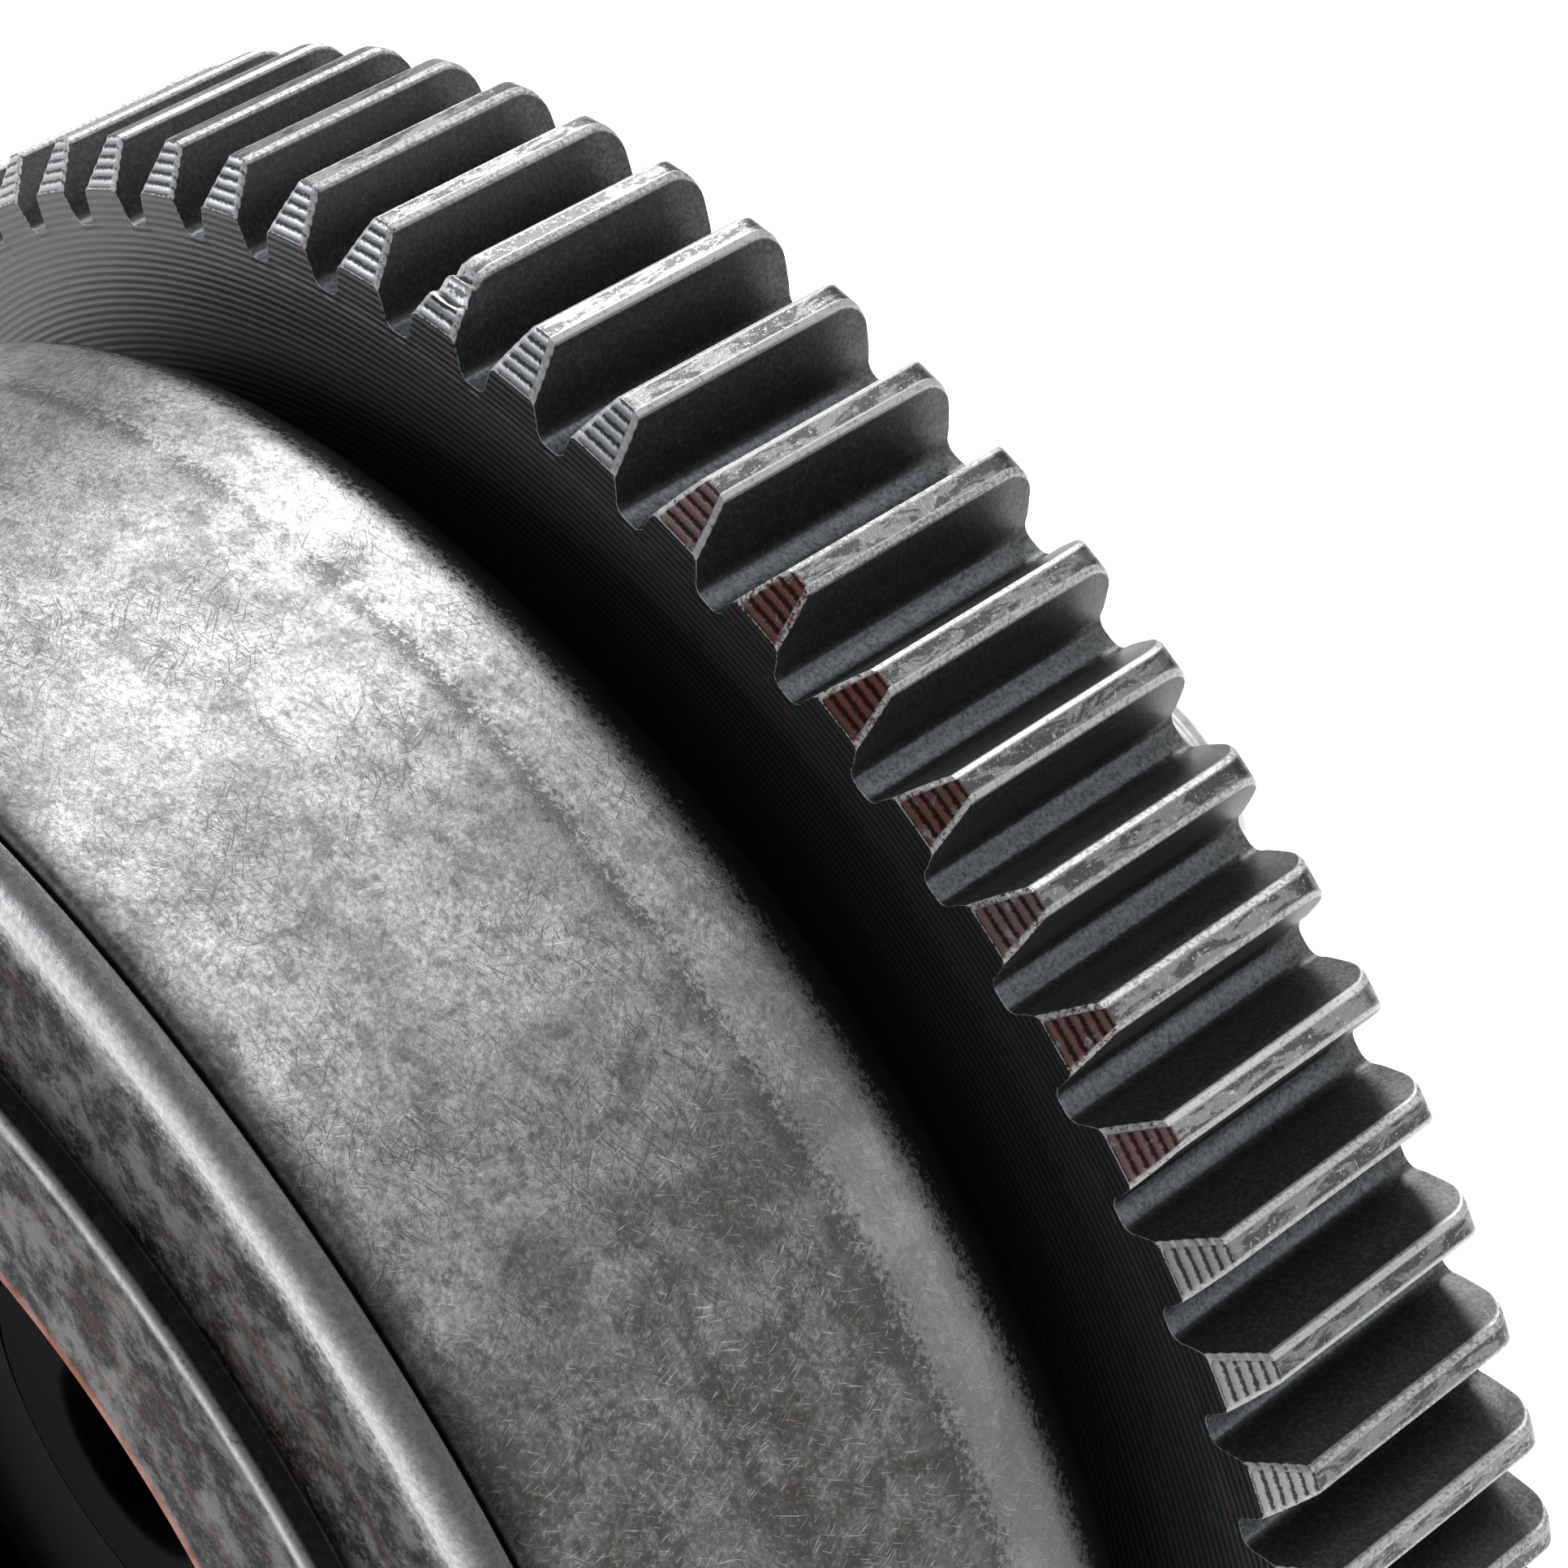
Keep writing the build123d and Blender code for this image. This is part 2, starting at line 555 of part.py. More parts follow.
def main():
    os.makedirs("parts", exist_ok=True)
    cam_front = RACE_FRONT + CAM_INSET
    cam_rear = RACE_REAR - CAM_INSET
    front_end = FRONT_BEARING_Y + BEARING_WIDTH
    washer_y = REAR_BEARING_Y + BEARING_WIDTH
    save(hub_sleeve(), "hub_sleeve")
    save(clutch_cam(), "clutch_cam")
    save(key_block(0.1), "cam_key")
    save(ring(HUB_R, INNER_LAND_R, front_end, cam_front), "front_spacer")
    save(ring(HUB_R, INNER_LAND_R, cam_rear, REAR_BEARING_Y), "rear_spacer")
    save(hub_circlip(), "hub_circlip")
    save(tab_washer(washer_y), "tab_washer")
    save(lock_nut(washer_y + WASHER_THICKNESS), "lock_nut")
    for name, y0 in (("front", FRONT_BEARING_Y), ("rear", REAR_BEARING_Y)):
        save(bearing_inner(y0), f"{name}_bearing_inner_ring")
        save(bearing_outer(y0), f"{name}_bearing_outer_ring")
        save(bearing_balls(y0), f"{name}_bearing_balls")
        save(bearing_cage(y0), f"{name}_bearing_cage")
    save(gear_ring(), "ring_gear")
    save(clutch_drum(), "clutch_drum")
    save(ring(RACE_INNER_R, DRUM_BORE_R, RACE_FRONT, RACE_REAR), "outer_race")
    save(front_cover(), "front_cover")
    save(front_seal(), "front_seal")
    save(housing_circlip(), "housing_circlip")
    save(rear_cover(), "rear_cover")
    save(rear_bearing_housing(), "rear_bearing_housing")
    save(Compound(children=around(cover_screw(), SCREW_COUNT, SCREW_CIRCLE_R)), "cover_screws")
    save(Compound(children=dowels()), "dowel_pins")
    save(clutch_rollers(), "clutch_rollers")
    save(roller_springs(), "roller_springs")


main()
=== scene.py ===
import json
from math import acos, cos, pi, radians, sin, tan

import bmesh
import bpy
import numpy as np
from mathutils import Matrix, Vector


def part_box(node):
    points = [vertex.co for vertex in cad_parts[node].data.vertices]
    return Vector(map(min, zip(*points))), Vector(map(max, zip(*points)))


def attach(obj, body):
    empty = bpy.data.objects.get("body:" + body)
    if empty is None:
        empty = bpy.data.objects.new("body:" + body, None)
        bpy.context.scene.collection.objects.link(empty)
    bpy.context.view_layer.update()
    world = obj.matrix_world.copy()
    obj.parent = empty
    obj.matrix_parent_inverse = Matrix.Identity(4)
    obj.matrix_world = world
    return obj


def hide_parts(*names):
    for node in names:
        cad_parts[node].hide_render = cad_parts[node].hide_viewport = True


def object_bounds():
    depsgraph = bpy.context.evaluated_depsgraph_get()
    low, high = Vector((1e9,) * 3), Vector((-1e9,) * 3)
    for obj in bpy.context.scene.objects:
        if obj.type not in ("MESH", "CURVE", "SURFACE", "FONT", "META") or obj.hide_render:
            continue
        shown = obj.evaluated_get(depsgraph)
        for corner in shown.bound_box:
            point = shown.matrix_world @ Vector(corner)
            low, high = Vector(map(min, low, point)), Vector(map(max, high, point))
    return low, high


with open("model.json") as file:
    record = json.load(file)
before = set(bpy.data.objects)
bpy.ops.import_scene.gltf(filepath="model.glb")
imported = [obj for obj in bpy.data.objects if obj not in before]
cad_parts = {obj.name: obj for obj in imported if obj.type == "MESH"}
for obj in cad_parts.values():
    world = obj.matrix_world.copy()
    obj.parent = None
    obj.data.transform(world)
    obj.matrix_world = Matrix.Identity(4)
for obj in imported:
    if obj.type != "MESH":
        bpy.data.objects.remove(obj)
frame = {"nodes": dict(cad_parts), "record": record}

CAD_BOX = [list(map(float, corner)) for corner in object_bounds()]
MM = 0.001
RNG = np.random.default_rng(7)

# ---------------------------------------------------------------- sizes, in millimetres

gear_low, gear_high = (np.array(c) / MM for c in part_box("ring_gear"))
drum_low, drum_high = (np.array(c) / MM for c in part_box("clutch_drum"))
cover_low = np.array(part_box("front_cover")[0]) / MM
rear_high = np.array(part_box("rear_cover")[1]) / MM
housing_high = np.array(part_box("rear_bearing_housing")[1]) / MM
hub_low, hub_high = (np.array(c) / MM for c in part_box("hub_sleeve"))
nut_low, nut_high = (np.array(c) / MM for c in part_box("lock_nut"))

TEETH = 68
MODULE = 1.5
TIP_R = MODULE * (TEETH + 2) / 2
ROOT_R = MODULE * (TEETH - 2.5) / 2
PITCH_R = MODULE * TEETH / 2
PRESSURE_ANGLE = radians(20)
BACKLASH = 0.10
FIRST_TOOTH = radians(47.9)
GEAR_FRONT = gear_low[1]
GEAR_REAR = gear_high[1]
SPIGOT_R = 35.0
CHAMFER_AXIAL = 1.5
CHAMFER_RADIAL = 1.75
CHAMFER_GROOVES = 5
REAR_CORNER = 1.25
ROOT_FILLET = 0.60
ROOT_FLAT = 0.20
TIP_BEVEL = 0.13

DRUM_R = drum_high[0]
DRUM_FRONT = drum_low[1]
COVER_R = 45.7
COVER_FRONT = cover_low[1]
COVER_RING_HEIGHT = 0.9
COVER_FACE = COVER_FRONT + COVER_RING_HEIGHT
COVER_RING_R = 33.7
OPENING_R = 22.4
LIP_R = 20.4
BEARING_R = 21.0
BEARING_WIDTH = 12.0
REAR_BEARING_Y = 8.0
SCREW_CIRCLE_R = 38.0
SCREWS = 8

WEB_INNER_R = 40.3
WEB_RINGS = 46
WEB_RIDGE = 0.035
GEAR_BACK_R = 47.5
GROOVE_DEPTH = 0.07
NECK_R = 40.6
NECK_LENGTH = 2.1
DRUM_REAR_FILLET = 4.0
DRUM_BORE_R = 31.5
RACE_SEAT_R = 33.0
SEAT_END_Y = -10.0
COVER_SEAT_R = 38.0
COVER_SEAT_DEPTH = 6.0
COVER_BOSS_R = 27.5
DISH_DEPTH = 0.35
LIP_FRONT_Y, LIP_REAR_Y = -25.8, -24.0
REAR_HOLE_R = 19.0
REAR_RECESS_R = 23.0
HOUSING_R = 23.8
HOUSING_FOOT_R = 25.8
HUB_R = 10.0
HUB_BORE_R = 5.0
HUB_END_R = 8.4
CLIP_GROOVE_R = 9.4
CROSS_HOLE_R, CROSS_HOLE_Y = 1.5, 31.65


# ---------------------------------------------------------------- mesh helpers

def piece(name, vertices, faces, body, nodes, sharp=35):
    """A mesh from millimetre vertices, riding on a body and standing for the CAD nodes."""
    mesh = bpy.data.meshes.new(name)
    mesh.from_pydata((np.asarray(vertices) * MM).tolist(), [], faces)
    mesh.update()
    work = bmesh.new()
    work.from_mesh(mesh)
    bmesh.ops.recalc_face_normals(work, faces=work.faces)
    work.to_mesh(mesh)
    work.free()
    mesh.shade_smooth()
    mesh.set_sharp_from_angle(angle=radians(sharp))
    obj = bpy.data.objects.new(name, mesh)
    bpy.context.scene.collection.objects.link(obj)
    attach(obj, body)
    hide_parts(*nodes)
    return obj


def rounded(corners, steps=6):
    """(radius, y, fillet) corners of a closed profile to points, with each fillet as an arc."""
    points = []
    count = len(corners)
    for i, (r, y, fillet) in enumerate(corners):
        here = Vector((r, y))
        if fillet <= 0:
            points.append((r, y))
            continue
        before = (Vector(corners[i - 1][:2]) - here).normalized()
        after = (Vector(corners[(i + 1) % count][:2]) - here).normalized()
        half = before.angle(after) / 2
        reach = fillet / tan(half)
        centre = here + (before + after).normalized() * (fillet / sin(half))
        start = here + before * reach - centre
        end = here + after * reach - centre
        turn = start.angle_signed(end)
        for k in range(steps + 1):
            a = -turn * k / steps
            out = start.x * cos(a) - start.y * sin(a)
            along = start.x * sin(a) + start.y * cos(a)
            points.append((centre.x + out, centre.y + along))
    return points


def lathe_mesh(rows, segments):
    """Rings about Y. A row is (radius, y), and a radius may be a function of the angle."""
    vertices = []
    for radius, y in rows:
        for k in range(segments):
            a = 2 * pi * k / segments
            r = radius(a) if callable(radius) else radius
            vertices.append((r * cos(a), y, r * sin(a)))
    faces = []
    count = len(rows)
    for i in range(count):
        j = (i + 1) % count
        for k in range(segments):
            n = (k + 1) % segments
            faces.append((i * segments + k, i * segments + n, j * segments + n, j * segments + k))
    return vertices, faces


def lathe(name, rows, segments, body, nodes, sharp=35):
    vertices, faces = lathe_mesh(rows, segments)
    return piece(name, vertices, faces, body, nodes, sharp)


# ---------------------------------------------------------------- ring gear

def involute_half(radius):
    """Half the angle that a tooth takes up at a radius."""
    base = PITCH_R * cos(PRESSURE_ANGLE)
    alpha = acos(min(1.0, base / radius))
    at_pitch = pi / (2 * TEETH) - BACKLASH / (2 * PITCH_R)
    return at_pitch + tan(PRESSURE_ANGLE) - PRESSURE_ANGLE - (tan(alpha) - alpha)


def half_tooth(top):
    """From the middle of the gap to the middle of the tip: radius, angle off centre and kind."""
    half_pitch = pi / TEETH
    points = [(ROOT_R, half_pitch, "root")]
    for turn in (0, 20, 38, 54, 70):
        t = radians(turn)
        along = ROOT_FLAT + ROOT_FILLET * sin(t)
        kind = "root" if turn < 30 else "flank"
        points.append((ROOT_R + ROOT_FILLET * (1 - cos(t)), half_pitch - along / ROOT_R, kind))
    form = points[-1][0]
    flank_top = top - TIP_BEVEL
    for s in (0.3, 0.65, 0.9, 1.0):
        r = form + s * (flank_top - form)
        points.append((r, involute_half(r), "flank" if s < 1 else "edge"))
    land = involute_half(top) - TIP_BEVEL / top
    points.append((top, land, "edge"))
    points.append((top, land * 0.72, "land"))
    points.append((top, 0.0, "land"))
    return points


def tooth_outline(top):
    rising = half_tooth(top)
    falling = [(r, -a, kind) for r, a, kind in reversed(rising[1:-1])]
    return [(r, -a, kind) for r, a, kind in rising] + [(r, -a, kind) for r, a, kind in falling]


def groove(t):
    """A triangular ridge, from 0 to 1 and back, once per unit."""
    return abs((t % 1.0) * 2 - 1)


def gear_levels():
    """(y, tip radius, kind of level) from the front plane to the rear plane."""
    levels = []
    steps = CHAMFER_GROOVES * 4
    for i in range(steps + 1):
        t = i / steps
        cut = GROOVE_DEPTH * groove(t * CHAMFER_GROOVES + 0.5) if 0 < i < steps else 0.0
        top = TIP_R - (1 - t) * CHAMFER_RADIAL - cut
        levels.append((GEAR_FRONT + t * CHAMFER_AXIAL, top, "chamfer"))
    start = GEAR_FRONT + CHAMFER_AXIAL
    end = GEAR_REAR - REAR_CORNER
    for t in (0.02, 0.05, 0.1, 0.15, 0.2, 0.3, 0.4, 0.5, 0.6, 0.7, 0.8, 0.9):
        levels.append((start + t * (end - start), TIP_R, "face"))
    for i in range(7):
        a = radians(90) * i / 6
        levels.append((end + REAR_CORNER * sin(a), TIP_R - REAR_CORNER * (1 - cos(a)), "rear"))
    return levels


def ring_gear():
    levels = gear_levels()
    step = 2 * pi / TEETH
    size = len(tooth_outline(TIP_R))
    ring = size * TEETH
    vertices, kinds = [], []

    def outline(top):
        shape = tooth_outline(top)
        return [(r, FIRST_TOOTH + k * step + a, kind) for k in range(TEETH) for r, a, kind in shape]

    front = outline(levels[0][1])
    web_out = ROOT_R - 0.25
    for _, a, _ in front:
        vertices.append((SPIGOT_R * cos(a), GEAR_FRONT, SPIGOT_R * sin(a)))
        kinds.append(("web", "web"))
    for j in range(WEB_RINGS):
        r = WEB_INNER_R + (web_out - WEB_INNER_R) * j / (WEB_RINGS - 1)
        y = GEAR_FRONT + (WEB_RIDGE if j % 2 else 0.0)
        for _, a, _ in front:
            vertices.append((r * cos(a), y, r * sin(a)))
            kinds.append(("web", "web"))
    for s in (0.35, 0.7, 0.93):
        for edge, a, _ in front:
            r = web_out + s * (edge - web_out)
            vertices.append((r * cos(a), GEAR_FRONT, r * sin(a)))
            kinds.append(("web", "web"))
    rows = 1 + WEB_RINGS + 3
    for y, top, zone in levels:
        for r, a, kind in outline(top):
            vertices.append((r * cos(a), y, r * sin(a)))
            kinds.append(("front line", kind) if y == GEAR_FRONT else (zone, kind))
        rows += 1
    for radius in (GEAR_BACK_R, SPIGOT_R):
        for _, a, _ in front:
            vertices.append((radius * cos(a), GEAR_REAR, radius * sin(a)))
            kinds.append(("back", "web"))
        rows += 1
    faces = []
    for i in range(rows):
        j = (i + 1) % rows
        for k in range(ring):
            n = (k + 1) % ring
            faces.append((i * ring + k, i * ring + n, j * ring + n, j * ring + k))
    vertices = nicked(np.array(vertices))
    obj = piece("ring_gear_teeth", vertices, faces, "drum", ["ring_gear"], 28)
    mark_gear(obj, vertices, kinds)
    return obj


def nicked(points):
    """One deep chip in a front tip corner and a few small nicks in other tips."""
    step = 2 * pi / TEETH
    deep_chip = (8, 0.15, 1.5, 0.62)          # tooth, place along the tip, size, depth
    nicked_share = 0.55
    chips = [deep_chip]
    for k in range(TEETH):
        if RNG.random() < nicked_share:
            chips.append((k, RNG.uniform(-0.9, 0.9), RNG.uniform(0.25, 0.5), RNG.uniform(0.03, 0.09)))
    for k, along, size, depth in chips:
        a = FIRST_TOOTH + k * step + along * 0.6 / TIP_R
        y = GEAR_FRONT + CHAMFER_AXIAL * (0.7 if depth == deep_chip[3] else RNG.uniform(0.9, 5.5))
        centre = np.array((TIP_R * cos(a), y, TIP_R * sin(a)))
        gap = np.linalg.norm(points - centre, axis=1)
        near = gap < size
        push = depth * (1 - (gap[near] / size) ** 2) * (0.8 + 0.4 * np.sin(points[near][:, 1] * 9))
        radial = points[near] * np.array((1, 0, 1))
        radial /= np.linalg.norm(radial, axis=1)[:, None]
        points[near] -= radial * push[:, None]
    return points


def mark_gear(obj, points, kinds):
    """Point attributes that tell the material where the tips, chamfers, roots and ends are."""
    zones = np.array([z for z, _ in kinds])
    kind = np.array([k for _, k in kinds])
    angle = np.arctan2(points[:, 2], points[:, 0])
    y = points[:, 1]
    tooth = np.round((angle - FIRST_TOOTH) / (2 * pi / TEETH)).astype(int) % TEETH
    rusty = (tooth <= 5) | (tooth == TEETH - 1)
    rust = np.where(rusty, 1.0, 0.0) * RNG.uniform(0.75, 1.0, TEETH)[tooth]
    far_side = (angle < 0) & (RNG.random(TEETH)[tooth] < 0.35)
    rust = np.where(far_side, 0.7, rust)
    on_tip = np.isin(kind, ("land", "edge"))
    marks = {
        "tip": on_tip & np.isin(zones, ("face", "rear")),
        "edge": (kind == "edge") | (zones == "front line"),
        "chamfer": on_tip & np.isin(zones, ("chamfer", "front line")),
        "root": kind == "root",
        "web": (zones == "web"),
        "rear_end": np.clip((y - (GEAR_REAR - 1.5)) / 0.3, 0, 1) * (zones != "back"),
        "rust": rust,
        "tooth_tone": RNG.random(TEETH)[tooth],
    }
    for name, values in marks.items():
        layer = obj.data.attributes.new(name, "FLOAT", "POINT")
        layer.data.foreach_set("value", np.asarray(values, dtype=np.float32))


# ---------------------------------------------------------------- turned pieces

def clutch_drum():
    neck = GEAR_FRONT - NECK_LENGTH
    seat = DRUM_FRONT + COVER_SEAT_DEPTH
    corners = [
        (RACE_SEAT_R, SEAT_END_Y, 0), (RACE_SEAT_R, GEAR_REAR, 0), (SPIGOT_R, GEAR_REAR, 0),
        (SPIGOT_R, GEAR_FRONT, 0), (NECK_R, GEAR_FRONT, 0), (NECK_R, neck, 0.3),
        (DRUM_R, neck, DRUM_REAR_FILLET), (DRUM_R, DRUM_FRONT, 0.45), (44.9, DRUM_FRONT, 0),
        (44.6, DRUM_FRONT + 0.5, 0), (44.3, DRUM_FRONT, 0), (COVER_SEAT_R, DRUM_FRONT, 0),
        (COVER_SEAT_R, seat, 0), (DRUM_BORE_R, seat, 0), (DRUM_BORE_R, SEAT_END_Y, 0),
    ]
    rows = []
    profile = rounded(corners, 12)
    wall_rows = 40
    for i, (r, y) in enumerate(profile):
        rows.append((r, y))
        after = profile[(i + 1) % len(profile)]
        if abs(after[1] - y) > 15 and min(r, after[0]) > 45:          # the long outer wall
            rows += [(DRUM_R, y + (after[1] - y) * k / wall_rows) for k in range(1, wall_rows)]
    return lathe("clutch_drum_shell", rows, 480, "drum", ["clutch_drum"])


def front_cover():
    dish = COVER_FACE + DISH_DEPTH
    seat = DRUM_FRONT + COVER_SEAT_DEPTH
    corners = [
        (OPENING_R, COVER_FRONT, 0.5), (COVER_RING_R, COVER_FRONT, 0.35), (COVER_RING_R, dish, 0.1),
        (43.2, dish, 0.5), (43.9, COVER_FACE, 0.4), (COVER_R, COVER_FACE, 1.25),
        (COVER_R, DRUM_FRONT - 0.15, 0.1), (45.0, DRUM_FRONT - 0.02, 0), (COVER_SEAT_R, DRUM_FRONT, 0),
        (COVER_SEAT_R, seat, 0), (COVER_BOSS_R, seat, 0), (COVER_BOSS_R, SEAT_END_Y, 0),
        (BEARING_R, SEAT_END_Y, 0), (BEARING_R, LIP_REAR_Y, 0), (LIP_R, LIP_REAR_Y, 0),
        (LIP_R, LIP_FRONT_Y, 0), (OPENING_R, LIP_FRONT_Y, 0),
    ]
    return lathe("front_cover_ring", rounded(corners, 8), 480, "drum", ["front_cover"])


def rear_cover():
    plate = rear_high[1]
    corners = [
        (REAR_HOLE_R, GEAR_REAR + 0.02, 0), (rear_high[0], GEAR_REAR + 0.02, 0), (rear_high[0], plate, 0.6),
        (REAR_RECESS_R, plate, 0), (REAR_RECESS_R, REAR_BEARING_Y, 0), (REAR_HOLE_R, REAR_BEARING_Y, 0),
    ]
    return lathe("rear_cover_plate", rounded(corners, 8), 320, "drum", ["rear_cover"])


def rear_bearing_housing():
    """The short tube in the rear cover, with a rounded foot and an inward lip at its end."""
    plate, end = rear_high[1], housing_high[1]
    bearing_end = REAR_BEARING_Y + BEARING_WIDTH
    lip = BEARING_R - 1.2
    corners = [
        (BEARING_R, REAR_BEARING_Y, 0), (REAR_RECESS_R, REAR_BEARING_Y, 0), (REAR_RECESS_R, plate, 0),
        (HOUSING_FOOT_R, plate, 0), (24.4, plate + 0.6, 0.4), (HOUSING_R, plate + 2.0, 0.4),
        (HOUSING_R, end, 0.8), (lip, end, 0.3), (lip, bearing_end, 0), (BEARING_R, bearing_end, 0),
    ]
    nodes = ["rear_bearing_housing"]
    return lathe("rear_housing_tube", rounded(corners, 8), 320, "drum", nodes)


def hub():
    corners = [
        (HUB_BORE_R, hub_low[1], 0.4), (HUB_R, hub_low[1], 0.5), (HUB_R, -25.3, 0),
        (CLIP_GROOVE_R, -25.3, 0), (CLIP_GROOVE_R, -24.1, 0), (HUB_R, -24.1, 0), (HUB_R, 27.6, 0.3),
        (HUB_END_R, 28.2, 0.2), (HUB_END_R, hub_high[1], 1.1), (HUB_BORE_R, hub_high[1], 0.5),
    ]
    obj = lathe("hub_sleeve_turned", rounded(corners, 8), 192, "hub", ["hub_sleeve"])
    drill(obj, CROSS_HOLE_R, CROSS_HOLE_Y)
    return obj


def drill(obj, radius, y):
    """A hole along Z right through, cut by a boolean that is then applied."""
    mesh = bpy.data.meshes.new("drill")
    work = bmesh.new()
    r = radius * MM
    bmesh.ops.create_cone(work, cap_ends=True, segments=48, radius1=r, radius2=r, depth=0.04)
    bmesh.ops.translate(work, verts=work.verts, vec=(0, y * MM, 0))
    work.to_mesh(mesh)
    work.free()
    cutter = bpy.data.objects.new("drill", mesh)
    bpy.context.scene.collection.objects.link(cutter)
    modifier = obj.modifiers.new("hole", "BOOLEAN")
    modifier.operation = "DIFFERENCE"
    modifier.solver = "EXACT"
    modifier.object = cutter
    graph = bpy.context.evaluated_depsgraph_get()
    cut = bpy.data.meshes.new_from_object(obj.evaluated_get(graph))
    obj.modifiers.clear()
    obj.data = cut
    bpy.data.objects.remove(cutter)


def lock_nut():
    low, high = nut_low[1], nut_high[1]
    nut_r, slot_depth, slot_half_width, slot_wall = 16.0, 2.0, 2.15, 0.15
    bore = HUB_R + 0.02

    def edge(radius):
        """A radius that drops into one of four slots."""
        def at_angle(a):
            off = abs((a + pi / 4) % (pi / 2) - pi / 4) * nut_r
            return radius - slot_depth * min(1.0, max(0.0, (slot_half_width - off) / slot_wall))
        return at_angle

    rows = [(bore, low), (edge(nut_r), low), (edge(nut_r), high - 0.8), (edge(15.8), high - 0.35)]
    rows += [(edge(15.2), high), (10.8, high), (bore, high - 0.7)]
    return lathe("lock_nut_slotted", rows, 720, "hub", ["lock_nut"], 30)


def screws():
    """Countersunk socket screws whose heads stand just proud of the rear cover, a plain plate with no
    countersinks of its own.
    """
    top = rear_high[1] + 0.05
    socket_r = 1.25

    def hexagon(a):
        return socket_r / cos((a + pi / 6) % (pi / 3) - pi / 6)

    rows = [(0.01, top - 3), (2.0, top - 3), (2.0, top - 1.6), (3.45, top - 0.15), (3.6, top - 0.06)]
    rows += [(3.5, top), (1.55, top), (hexagon, top - 0.15), (hexagon, top - 1.5), (0.01, top - 1.8)]
    single, faces = lathe_mesh(rows, 96)
    single = np.array(single)
    vertices, all_faces = [], []
    for i in range(SCREWS):
        a = 2 * pi * i / SCREWS
        spin = a + RNG.uniform(0, pi / 3)
        turned = np.array(Matrix.Rotation(-spin, 3, "Y"))
        moved = single @ turned.T + np.array((SCREW_CIRCLE_R * cos(a), 0, SCREW_CIRCLE_R * sin(a)))
        offset = len(vertices)
        vertices.extend(moved.tolist())
        all_faces.extend(tuple(v + offset for v in f) for f in faces)
    return piece("cover_screw_heads", vertices, all_faces, "drum", ["cover_screws"], 30)


# ---------------------------------------------------------------- material helpers

